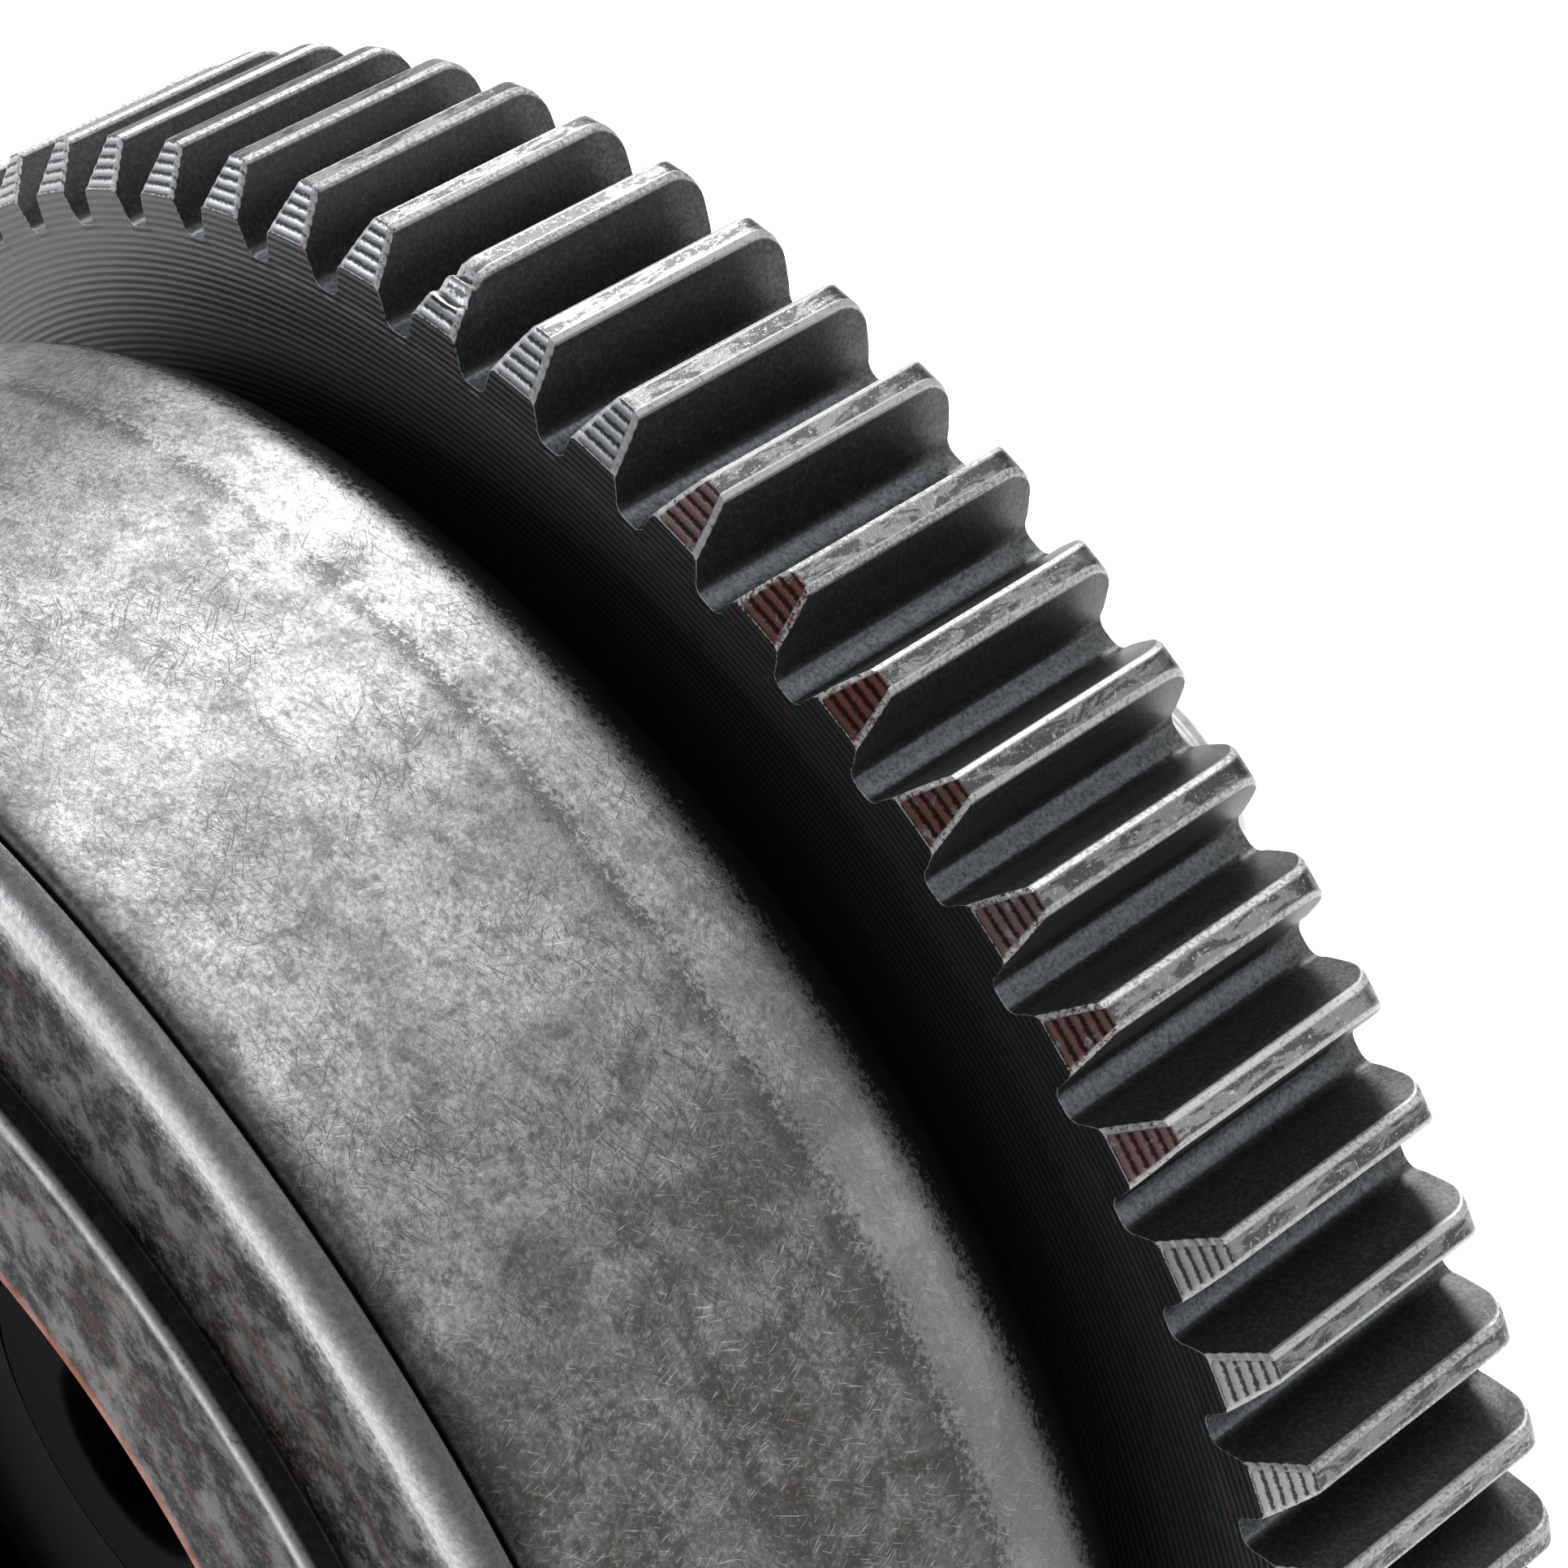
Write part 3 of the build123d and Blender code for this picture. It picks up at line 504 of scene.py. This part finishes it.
class Shader:
    """A short way to write node trees: each method adds nodes and returns an output socket."""

    def __init__(self, name):
        self.material = bpy.data.materials.new(name)
        self.material.use_nodes = True
        self.tree = self.material.node_tree
        self.bsdf = self.tree.nodes["Principled BSDF"]
        coordinates = self.tree.nodes.new("ShaderNodeTexCoord").outputs["Object"]
        self.mm = self.vector("SCALE", coordinates, scale=1 / MM)
        split = self.tree.nodes.new("ShaderNodeSeparateXYZ")
        self.link(self.mm, split.inputs[0])
        self.x, self.y, self.z = split.outputs
        across, up = self.math("MULTIPLY", self.x, self.x), self.math("MULTIPLY", self.z, self.z)
        self.radius = self.math("SQRT", self.math("ADD", across, up))
        self.angle = self.math("ARCTAN2", self.z, self.x)

    def link(self, source, socket):
        self.tree.links.new(source, socket)

    def feed(self, socket, value):
        if isinstance(value, bpy.types.NodeSocket):
            self.link(value, socket)
        else:
            socket.default_value = value

    def math(self, operation, a, b=0.0, c=0.0, clamp=False):
        node = self.tree.nodes.new("ShaderNodeMath")
        node.operation = operation
        node.use_clamp = clamp
        for socket, value in zip(node.inputs, (a, b, c)):
            self.feed(socket, value)
        return node.outputs[0]

    def vector(self, operation, a, b=(0, 0, 0), scale=1.0):
        node = self.tree.nodes.new("ShaderNodeVectorMath")
        node.operation = operation
        self.feed(node.inputs[0], a)
        if operation == "SCALE":
            self.feed(node.inputs["Scale"], scale)
        else:
            self.feed(node.inputs[1], b)
        return node.outputs[0]

    def combine(self, x, y, z):
        node = self.tree.nodes.new("ShaderNodeCombineXYZ")
        for socket, value in zip(node.inputs, (x, y, z)):
            self.feed(socket, value)
        return node.outputs[0]

    def noise(self, scale, detail=4.0, rough=0.55, at=None, distortion=0.0):
        """Noise whose scale is in features per millimetre."""
        node = self.tree.nodes.new("ShaderNodeTexNoise")
        self.link(at or self.mm, node.inputs["Vector"])
        node.inputs["Scale"].default_value = scale
        node.inputs["Detail"].default_value = detail
        node.inputs["Roughness"].default_value = rough
        node.inputs["Distortion"].default_value = distortion
        return node.outputs["Fac"]

    def band(self, value, low, high, to_low=0.0, to_high=1.0):
        """value mapped from low..high, clamped."""
        node = self.tree.nodes.new("ShaderNodeMapRange")
        node.interpolation_type = "SMOOTHSTEP"
        self.feed(node.inputs["Value"], value)
        node.inputs["From Min"].default_value = low
        node.inputs["From Max"].default_value = high
        node.inputs["To Min"].default_value = to_low
        node.inputs["To Max"].default_value = to_high
        return node.outputs["Result"]

    def mix(self, amount, a, b):
        node = self.tree.nodes.new("ShaderNodeMix")
        node.data_type = "RGBA"
        self.feed(node.inputs["Factor"], amount)
        self.feed(node.inputs["A"], a)
        self.feed(node.inputs["B"], b)
        return node.outputs["Result"]

    def blend(self, amount, a, b):
        node = self.tree.nodes.new("ShaderNodeMix")
        node.data_type = "FLOAT"
        self.feed(node.inputs["Factor"], amount)
        self.feed(node.inputs["A"], a)
        self.feed(node.inputs["B"], b)
        return node.outputs["Result"]

    def mark(self, name):
        node = self.tree.nodes.new("ShaderNodeAttribute")
        node.attribute_type = "GEOMETRY"
        node.attribute_name = name
        return node.outputs["Fac"]

    def bump(self, height, distance_mm, strength=1.0, normal=None):
        node = self.tree.nodes.new("ShaderNodeBump")
        node.inputs["Strength"].default_value = strength
        node.inputs["Distance"].default_value = distance_mm * MM
        self.link(height, node.inputs["Height"])
        if normal is not None:
            self.link(normal, node.inputs["Normal"])
        return node.outputs["Normal"]

    def scratches(self, at, turn, long, wide, low, high):
        """Short straight scratches: noise stretched along one direction and cut high."""
        node = self.tree.nodes.new("ShaderNodeMapping")
        node.inputs["Rotation"].default_value = (0, 0, radians(turn))
        self.link(at, node.inputs["Vector"])
        stretched = self.vector("MULTIPLY", node.outputs[0], (1 / long, 1 / wide, 1.0))
        return self.band(self.noise(1.0, 1.0, 0.4, at=stretched), low, high)

    def unrolled(self, radius):
        """Millimetres round the circumference, along the axis, and out from the axis."""
        return self.combine(self.math("MULTIPLY", self.angle, radius), self.y, self.radius)

    def bent(self, at, scale, reach):
        """Coordinates pushed about by soft noise, so that straight marks change direction."""
        first = self.noise(scale, 1.0, 0.5, at=at)
        second = self.noise(scale * 1.37, 1.0, 0.5, at=at)
        push = self.vector("SCALE", self.combine(first, second, 0.0), scale=reach)
        return self.vector("ADD", at, push)

    def finish(self, colour, roughness, metallic=1.0, normal=None):
        self.feed(self.bsdf.inputs["Base Color"], colour)
        self.feed(self.bsdf.inputs["Roughness"], roughness)
        self.feed(self.bsdf.inputs["Metallic"], metallic)
        if normal is not None:
            self.link(normal, self.bsdf.inputs["Normal"])
        return self.material


def grey(value, warm=0.0):
    return (value * (1 + warm), value, value * (1 - warm), 1.0)


BROWN_GREY_LOW = (0.175, 0.160, 0.142, 1)
BROWN_STAIN = (0.092, 0.080, 0.068, 1)
RUST_RIDGE = (0.26, 0.115, 0.092, 1)
RUST_GROOVE = (0.045, 0.020, 0.017, 1)
RUST_DUST = (0.17, 0.075, 0.055, 1)
RUST_STREAK = (0.042, 0.015, 0.009, 1)
RUST_EDGE = (0.30, 0.095, 0.050, 1)
GAP_DARK = (0.045, 0.052, 0.056, 1)
GAP_PALE = (0.20, 0.220, 0.226, 1)
SHADE_RING_Y = GEAR_FRONT - 8.8


def scratch_field(s, surface):
    """Four directions of fine handling scratches, added together."""
    total = s.scratches(surface, 18, 1.9, 0.08, 0.63, 0.70)
    for turn, long, wide in ((74, 1.2, 0.07), (128, 2.4, 0.09), (163, 0.9, 0.06)):
        total = s.math("ADD", total, s.scratches(surface, turn, long, wide, 0.64, 0.71), clamp=True)
    return total


def drum_material():
    """Bare worn steel: soft clouds, brown stains lower down, and patches of fine scratches."""
    s = Shader("drum_steel_look")
    surface = s.unrolled(DRUM_R)
    cloud = s.noise(0.06, 4, 0.55, at=surface)
    mottle = s.noise(0.26, 8, 0.70, at=surface, distortion=0.5)
    patch = s.noise(0.16, 4, 0.6, at=surface)
    grain = s.noise(3.6, 6, 0.78, at=surface, distortion=0.3)
    fine = s.noise(9.0, 2, 0.6, at=surface)
    handled = s.band(patch, 0.44, 0.62)
    loose = s.bent(surface, 0.25, 1.6)
    cuts = s.math("MULTIPLY", scratch_field(s, loose), s.blend(handled, 0.30, 0.75))
    bright_cuts = s.math("ADD", s.scratches(loose, 52, 1.0, 0.08, 0.66, 0.72),
                         s.scratches(loose, 112, 0.8, 0.07, 0.66, 0.72), clamp=True)
    lower = s.band(s.z, 42.0, 31.0)
    bright_cuts = s.math("MULTIPLY", bright_cuts, s.math("MAXIMUM", handled, lower))
    stain = s.math("MULTIPLY", s.band(mottle, 0.36, 0.64), s.blend(lower, 0.30, 0.95))
    base = s.mix(s.band(cloud, 0.36, 0.64), grey(0.42, 0.01), grey(0.60))
    # darker and browner towards the bottom of the drum: a flat brown-grey tone mixed in by height
    base = s.mix(s.math("MULTIPLY", lower, 0.62), base, BROWN_GREY_LOW)
    base = s.mix(stain, base, BROWN_STAIN)
    smudge = s.noise(0.75, 6, 0.72, at=surface, distortion=0.3)
    smudged = s.math("MULTIPLY", s.band(smudge, 0.48, 0.62), s.blend(lower, 0.50, 0.85))
    base = s.mix(smudged, base, grey(0.10, 0.06))
    base = s.mix(s.band(grain, 0.34, 0.66), s.mix(0.62, base, grey(0.06)), base)
    sparkle = s.math("MULTIPLY", s.band(grain, 0.53, 0.62), s.math("MULTIPLY", lower, 0.40))
    base = s.mix(sparkle, base, grey(0.40, 0.02))
    base = s.mix(cuts, base, grey(0.10))
    base = s.mix(s.math("MULTIPLY", bright_cuts, 0.30), base, grey(0.85))
    ragged = s.math("ADD", s.y, s.math("MULTIPLY", s.math("SUBTRACT", grain, 0.5), 4.5))
    rubbed = s.math("MULTIPLY", s.band(ragged, GEAR_FRONT - 8.6, GEAR_FRONT - 7.6), lower)
    base = s.mix(s.math("MULTIPLY", rubbed, 0.45), base, grey(0.42, 0.02))
    # painted shade: a thin broken dark ring round the drum near its rear end, where the side starts to turn
    # towards the rounding
    shade_ring = s.band(s.math("ABSOLUTE", s.math("SUBTRACT", ragged, SHADE_RING_Y)), 0.55, 0.1)
    shade_ring = s.math("MULTIPLY", shade_ring, s.band(mottle, 0.38, 0.52, 0.25, 0.90))
    base = s.mix(shade_ring, base, grey(0.09))
    shade = s.math("ADD", s.band(ragged, GEAR_FRONT - 5.5, GEAR_FRONT - 4.3),
                   s.band(s.y, DRUM_FRONT + 1.8, DRUM_FRONT + 0.2, 0.0, 0.60), clamp=True)
    base = s.mix(shade, base, grey(0.016))
    rough = s.math("ADD", s.band(mottle, 0.32, 0.66, 0.25, 0.37), s.math("MULTIPLY", grain, 0.14))
    rough = s.math("ADD", rough, s.math("MULTIPLY", shade, 0.3))
    normal = s.bump(mottle, 0.09, 0.45)
    normal = s.bump(s.math("ADD", grain, s.math("MULTIPLY", fine, 0.3)), 0.030, 0.8, normal)
    normal = s.bump(s.math("SUBTRACT", bright_cuts, cuts), 0.008, 0.9, normal)
    return s.finish(base, rough, 1.0, normal)


def worn_tip(s, speck, edge):
    """Tooth tips: dark grey middles, dark flecks, and pale ragged margins."""
    along = s.vector("MULTIPLY", s.mm, (1.0, 0.3, 1.0))
    islands = s.noise(1.7, 5, 0.68, at=along, distortion=0.6)
    middle = s.mix(s.band(islands, 0.46, 0.54), grey(0.10), grey(0.27))
    middle = s.mix(s.band(speck, 0.58, 0.70), middle, grey(0.05))
    middle = s.mix(s.band(speck, 0.42, 0.34), middle, grey(0.50))
    ragged = s.math("ADD", edge, s.math("MULTIPLY", s.math("SUBTRACT", speck, 0.5), 1.9))
    return s.mix(s.band(ragged, 0.22, 0.40), middle, grey(0.33))


def chamfer_colour(s, blotch, speck, rust):
    """Turned grooves across the front bevel, bright or filled with rust."""
    at = s.math("MULTIPLY", s.math("SUBTRACT", s.y, GEAR_FRONT), CHAMFER_GROOVES / CHAMFER_AXIAL)
    ridge = s.math("MULTIPLY", s.math("FRACT", at), 2.0)
    ridge = s.math("ABSOLUTE", s.math("SUBTRACT", ridge, 1.0))
    ridge = s.math("ADD", ridge, s.math("MULTIPLY", s.math("SUBTRACT", speck, 0.5), 1.4))
    plain = s.mix(s.band(ridge, 0.50, 0.80), grey(0.46), grey(0.07))
    rusty = s.mix(s.band(ridge, 0.30, 0.72), RUST_RIDGE, RUST_GROOVE)
    return s.mix(s.math("MULTIPLY", rust, s.band(blotch, 0.34, 0.44)), plain, rusty)


def gear_material():
    """Blackened steel, worn bright on the teeth, with a finely turned web."""
    s = Shader("gear_black_steel_look")
    tip, edge, chamfer = s.mark("tip"), s.mark("edge"), s.mark("chamfer")
    root, web, rear_end = s.mark("root"), s.mark("web"), s.mark("rear_end")
    blotch = s.noise(1.1, 5, 0.7, distortion=0.5)
    speck = s.noise(5.5, 4, 0.75)
    grain = s.noise(12.0, 2, 0.6)
    black = s.mix(s.band(speck, 0.40, 0.70), grey(0.030, -0.05), grey(0.075, -0.05))
    black = s.mix(s.band(speck, 0.68, 0.74, 0.0, 0.7), black, grey(0.30, 0.02))
    floor_tone = s.mix(s.band(speck, 0.3, 0.65), GAP_DARK, GAP_PALE)
    colour = s.mix(s.band(root, 0.25, 0.9), black, floor_tone)
    pale_end = s.math("MULTIPLY", rear_end, s.band(blotch, 0.3, 0.6, 0.4, 1.0))
    end_tone = s.mix(s.band(speck, 0.35, 0.65), grey(0.06), grey(0.17))
    colour = s.mix(s.math("MULTIPLY", pale_end, 0.8), colour, end_tone)
    colour = s.mix(s.band(tip, 0.35, 0.8), colour, worn_tip(s, speck, edge))
    front_bevel = chamfer_colour(s, blotch, speck, s.mark("rust"))
    colour = s.mix(s.band(chamfer, 0.4, 0.85), colour, front_bevel)
    line = s.band(s.math("ADD", speck, s.math("MULTIPLY", s.mark("tooth_tone"), 0.1)), 0.43, 0.57)
    line = s.math("MULTIPLY", s.band(edge, 0.45, 0.85), line)
    colour = s.mix(line, colour, grey(0.66))
    turned = s.math("SINE", s.math("MULTIPLY", s.radius, 2 * pi / 0.35))
    around = s.combine(s.radius, 0.0, s.math("MULTIPLY", s.angle, 3.0))
    turned = s.math("ADD", turned, s.math("MULTIPLY", s.noise(2.2, 2, 0.5, at=around), 1.5))
    web_tone = s.mix(s.band(turned, 0.2, 1.6), grey(0.036, -0.05), grey(0.085, -0.05))
    dust = s.math("MULTIPLY", s.band(blotch, 0.60, 0.66), s.band(s.radius, 45.5, 48.5))
    web_tone = s.mix(s.math("MULTIPLY", dust, 0.7), web_tone, RUST_DUST)
    colour = s.mix(s.band(web, 0.5, 0.95), colour, web_tone)
    rough = s.blend(s.band(edge, 0.4, 0.85), 0.42, 0.62)
    rough = s.math("ADD", rough, s.math("MULTIPLY", s.math("SUBTRACT", speck, 0.5), 0.25))
    bright = s.math("MAXIMUM", s.band(tip, 0.35, 0.8), s.band(chamfer, 0.4, 0.85))
    metallic = s.blend(bright, 0.50, 1.0)
    normal = s.bump(s.math("MULTIPLY", turned, web), 0.018, 0.55)
    normal = s.bump(s.math("ADD", speck, s.math("MULTIPLY", grain, 0.5)), 0.022, 0.6, normal)
    normal = s.bump(s.math("MULTIPLY", blotch, tip), 0.03, 0.7, normal)
    return s.finish(colour, rough, metallic, normal)


def cover_material():
    """Dark stained steel with a bright rim, a thin bright lip and a rusty opening edge."""
    s = Shader("cover_steel_look")
    surface = s.combine(s.math("MULTIPLY", s.angle, 32.0), s.radius, s.y)
    mottle = s.noise(0.42, 8, 0.74, distortion=0.2)
    streak = s.noise(1.0, 4, 0.6, at=s.vector("MULTIPLY", surface, (0.12, 1.3, 1.0)))
    speck = s.noise(3.5, 5, 0.75)
    base = s.mix(s.band(mottle, 0.42, 0.60), grey(0.006, 0.12), grey(0.072, 0.03))
    base = s.mix(s.band(streak, 0.54, 0.62), base, RUST_STREAK)
    base = s.mix(s.band(speck, 0.50, 0.66, 0.0, 0.6), base, grey(0.15, 0.02))
    ragged = s.math("ADD", s.radius, s.math("MULTIPLY", s.math("SUBTRACT", speck, 0.5), 2.4))
    rim = s.band(ragged, 41.4, 43.9)
    base = s.mix(rim, base, s.mix(s.band(speck, 0.35, 0.65), grey(0.36, 0.01), grey(0.56, 0.01)))
    # painted shade: the cover's outer side darkened towards the drum, where the gap between the two parts
    # lies in shade
    base = s.mix(s.band(s.y, COVER_FACE + 0.30, COVER_FACE + 1.3, 0.0, 0.8), base, grey(0.05))
    lip = s.band(s.math("ABSOLUTE", s.math("SUBTRACT", s.radius, COVER_RING_R - 0.1)), 0.80, 0.1)
    lip = s.math("MULTIPLY", lip, s.band(s.y, COVER_FRONT + 0.45, COVER_FRONT + 0.2))
    base = s.mix(s.math("MULTIPLY", lip, s.band(speck, 0.3, 0.5, 0.3, 1.0)), base, grey(0.50, 0.02))
    step = s.band(s.math("ABSOLUTE", s.math("SUBTRACT", s.radius, COVER_RING_R)), 0.16, 0.08)
    step = s.math("MULTIPLY", step, s.band(s.y, COVER_FRONT + 0.35, COVER_FRONT + 0.5))
    base = s.mix(s.math("MULTIPLY", step, 0.7), base, s.mix(speck, grey(0.03, 0.1), grey(0.16, 0.03)))
    inner = s.band(s.math("ABSOLUTE", s.math("SUBTRACT", s.radius, OPENING_R + 0.3)), 1.0, 0.25)
    base = s.mix(s.math("MULTIPLY", inner, 0.9), base, RUST_EDGE)
    # painted shade: the bore wall inside the opening is painted near black and made rough
    opening_shade = s.band(s.radius, OPENING_R + 0.12, OPENING_R + 0.02)
    base = s.mix(opening_shade, base, grey(0.008))
    rough = s.math("ADD", s.band(mottle, 0.42, 0.60, 0.62, 0.40), s.math("MULTIPLY", speck, 0.12))
    rough = s.blend(rim, rough, 0.42)
    rough = s.blend(opening_shade, rough, 0.95)
    normal = s.bump(mottle, 0.10, 0.4)
    normal = s.bump(speck, 0.03, 0.7, normal)
    return s.finish(base, rough, 1.0, normal)


def steel(name, tone, rough, warm=0.0, turned_pitch=0.3, turned_depth=0.006, painted_shade_before=None):
    """Turned steel: fine rings round the axis, faint stains and short scratches."""
    s = Shader(name)
    surface = s.combine(s.math("MULTIPLY", s.angle, s.radius), s.y, s.radius)
    mottle = s.noise(0.5, 5, 0.6)
    speck = s.noise(6.0, 3, 0.7)
    where = s.math("ADD", s.radius, s.y)
    rings = s.math("SINE", s.math("MULTIPLY", where, 2 * pi / turned_pitch))
    cuts = s.scratches(surface, 35, 1.2, 0.07, 0.62, 0.70)
    base = s.mix(s.band(mottle, 0.35, 0.65), grey(tone * 0.62, warm), grey(tone, warm))
    base = s.mix(s.math("MULTIPLY", s.band(speck, 0.55, 0.75), 0.5), base, grey(tone * 0.35, warm))
    base = s.mix(s.math("MULTIPLY", cuts, 0.6), base, grey(min(0.9, tone * 1.7)))
    rough = s.math("ADD", s.math("MULTIPLY", mottle, 0.2), rough - 0.1)
    # painted shade: the part in front of this y, seen through the cover's opening, is painted near black
    # and made rough
    if painted_shade_before is not None:
        dark = s.band(s.y, painted_shade_before, painted_shade_before - 1.0)
        base = s.mix(dark, base, grey(0.008))
        rough = s.blend(dark, rough, 0.9)
    normal = s.bump(rings, turned_depth, 0.8)
    normal = s.bump(speck, 0.012, 0.6, normal)
    return s.finish(base, rough, 1.0, normal)


def rubber():
    s = Shader("black_rubber_look")
    speck = s.noise(7.0, 3, 0.6)
    colour = s.mix(s.band(speck, 0.4, 0.7), grey(0.002), grey(0.005))
    s.bsdf.inputs["Specular IOR Level"].default_value = 0.15
    return s.finish(colour, 0.85, 0.0, s.bump(speck, 0.02, 0.5))


def paint(obj, material):
    """Gives every slot of a piece or CAD node one material."""
    if not obj.material_slots:
        obj.data.materials.append(material)
    for slot in obj.material_slots:
        slot.material = material


# ---------------------------------------------------------------- the object

pieces = {
    "ring_gear": ring_gear(),
    "clutch_drum": clutch_drum(),
    "front_cover": front_cover(),
    "rear_cover": rear_cover(),
    "rear_bearing_housing": rear_bearing_housing(),
    "hub_sleeve": hub(),
    "lock_nut": lock_nut(),
    "cover_screws": screws(),
}
paint(pieces["ring_gear"], gear_material())
paint(pieces["clutch_drum"], drum_material())
paint(pieces["front_cover"], cover_material())
hub_look = steel("hub_steel_look", 0.88, 0.50, painted_shade_before=-20.0)
fastener_look = steel("fastener_steel_look", 0.06, 0.42, turned_pitch=0.5)
rear_look = steel("rear_cover_steel_look", 0.24, 0.40, 0.02, 0.35, 0.010)
paint(pieces["rear_cover"], rear_look)
paint(pieces["rear_bearing_housing"], rear_look)
paint(pieces["hub_sleeve"], hub_look)
paint(pieces["lock_nut"], fastener_look)
paint(pieces["cover_screws"], fastener_look)

INNER_LOOKS = {
    "race_steel": steel("race_steel_look", 0.42, 0.28),
    "bearing_steel": steel("bearing_steel_look", 0.10, 0.30, turned_pitch=0.6, turned_depth=0.002),
    "ball_steel": steel("ball_steel_look", 0.50, 0.16, turned_depth=0.0005),
    "cage_brass": steel("cage_brass_look", 0.22, 0.38, 0.35),
    "fastener_steel": fastener_look,
    "spring_steel": steel("spring_steel_look", 0.09, 0.32, -0.1),
    "hub_steel": hub_look,
    "black_rubber": rubber(),
}
SLOTS = {entry["node"]: entry["material_slot"] for entry in frame["record"]["subparts"]}
for node, obj in frame["nodes"].items():
    if node not in pieces:
        paint(obj, INNER_LOOKS[SLOTS[node]])

# ---------------------------------------------------------------- floor, light and camera

POOL_CENTRE = (-0.10, 0.17, CAD_BOX[0][2])
POOL_RADII = (0.24, 0.42)
POOL_EDGE_GLOW = 0.30
FLOOR_HALF = 6.0
FLOOR_GAP = 0.0002


def floor_glow(material):
    """A pool of light behind the object: the floor's own glow fades with distance from it."""
    tree = material.node_tree
    place = tree.nodes.new("ShaderNodeTexCoord").outputs["Object"]
    gap = tree.nodes.new("ShaderNodeVectorMath")
    gap.operation = "DISTANCE"
    gap.inputs[1].default_value = POOL_CENTRE
    tree.links.new(place, gap.inputs[0])
    fade = tree.nodes.new("ShaderNodeMapRange")
    fade.interpolation_type = "SMOOTHSTEP"
    fade.inputs["From Min"].default_value = POOL_RADII[0]
    fade.inputs["From Max"].default_value = POOL_RADII[1]
    fade.inputs["To Min"].default_value = 1.0
    fade.inputs["To Max"].default_value = POOL_EDGE_GLOW
    tree.links.new(gap.outputs["Value"], fade.inputs["Value"])
    return fade.outputs["Result"]


def pale_floor():
    mesh = bpy.data.meshes.new("floor")
    half, height = FLOOR_HALF, CAD_BOX[0][2] - FLOOR_GAP
    corners = [(-half, -half, height), (half, -half, height), (half, half, height), (-half, half, height)]
    mesh.from_pydata(corners, [], [(0, 1, 2, 3)])
    floor = bpy.data.objects.new("floor", mesh)
    bpy.context.scene.collection.objects.link(floor)
    material = bpy.data.materials.new("floor_white")
    material.use_nodes = True
    bsdf = material.node_tree.nodes["Principled BSDF"]
    bsdf.inputs["Base Color"].default_value = (0.93, 0.93, 0.93, 1)
    bsdf.inputs["Roughness"].default_value = 0.9
    bsdf.inputs["Emission Color"].default_value = (1, 1, 1, 1)
    pool = floor_glow(material)
    material.node_tree.links.new(pool, bsdf.inputs["Emission Strength"])
    mesh.materials.append(material)


def softbox(name, direction, distance, width, height, power, colour=(1, 1, 1)):
    """A rectangular lamp that faces the origin. Metres and watts."""
    light = bpy.data.lights.new(name, "AREA")
    light.shape = "RECTANGLE"
    light.size = width
    light.size_y = height
    light.energy = power
    light.color = colour
    lamp = bpy.data.objects.new(name, light)
    bpy.context.scene.collection.objects.link(lamp)
    place = Vector(direction).normalized() * distance
    lamp.matrix_world = Matrix.Translation(place) @ place.to_track_quat("Z", "Y").to_matrix().to_4x4()


def studio():
    world = bpy.data.worlds.new("studio")
    world.use_nodes = True
    background = world.node_tree.nodes["Background"]
    background.inputs["Color"].default_value = (0.9, 0.95, 1.0, 1)
    background.inputs["Strength"].default_value = 0.22
    bpy.context.scene.world = world
    softbox("key_behind", (-0.56, 0.46, 0.70), 0.60, 0.15, 0.17, 2.1)
    softbox("side_right", (0.82, 0.42, 0.50), 0.70, 0.42, 0.36, 0.80)
    softbox("front_left", (-0.75, -0.70, 0.05), 0.70, 0.30, 0.30, 2.1, (0.93, 0.96, 1.0))
    softbox("overhead", (0.12, 0.26, 0.96), 0.80, 0.42, 0.42, 1.6)


CAMERA_RIGHT = (0.6721, 0.7404, 0.0)
CAMERA_DOWN = (0.5015, -0.4553, -0.7356)
CAMERA_PLACE = (2.0595, -1.5302, 2.8690)          # from the gear's front centre, in tip radii
CAMERA_LENS_MM = 100.6


def camera():
    """Close-up of the gear's upper front quarter, looking down at the drum's open front."""
    lens = bpy.data.cameras.new("camera")
    lens.lens = CAMERA_LENS_MM
    lens.sensor_width = 36.0
    lens.clip_start = 0.01
    seen = bpy.data.objects.new("camera", lens)
    bpy.context.scene.collection.objects.link(seen)
    right, down = Vector(CAMERA_RIGHT), Vector(CAMERA_DOWN)
    forward = right.cross(down)
    turn = Matrix((right, -down, -forward)).transposed().to_4x4()
    front_centre = Vector((0, GEAR_FRONT, 0)) * MM
    place = front_centre + Vector(CAMERA_PLACE) * TIP_R * MM
    seen.matrix_world = Matrix.Translation(place) @ turn
    bpy.context.scene.camera = seen


pale_floor()
studio()
camera()
bpy.context.scene.view_settings.view_transform = "Standard"
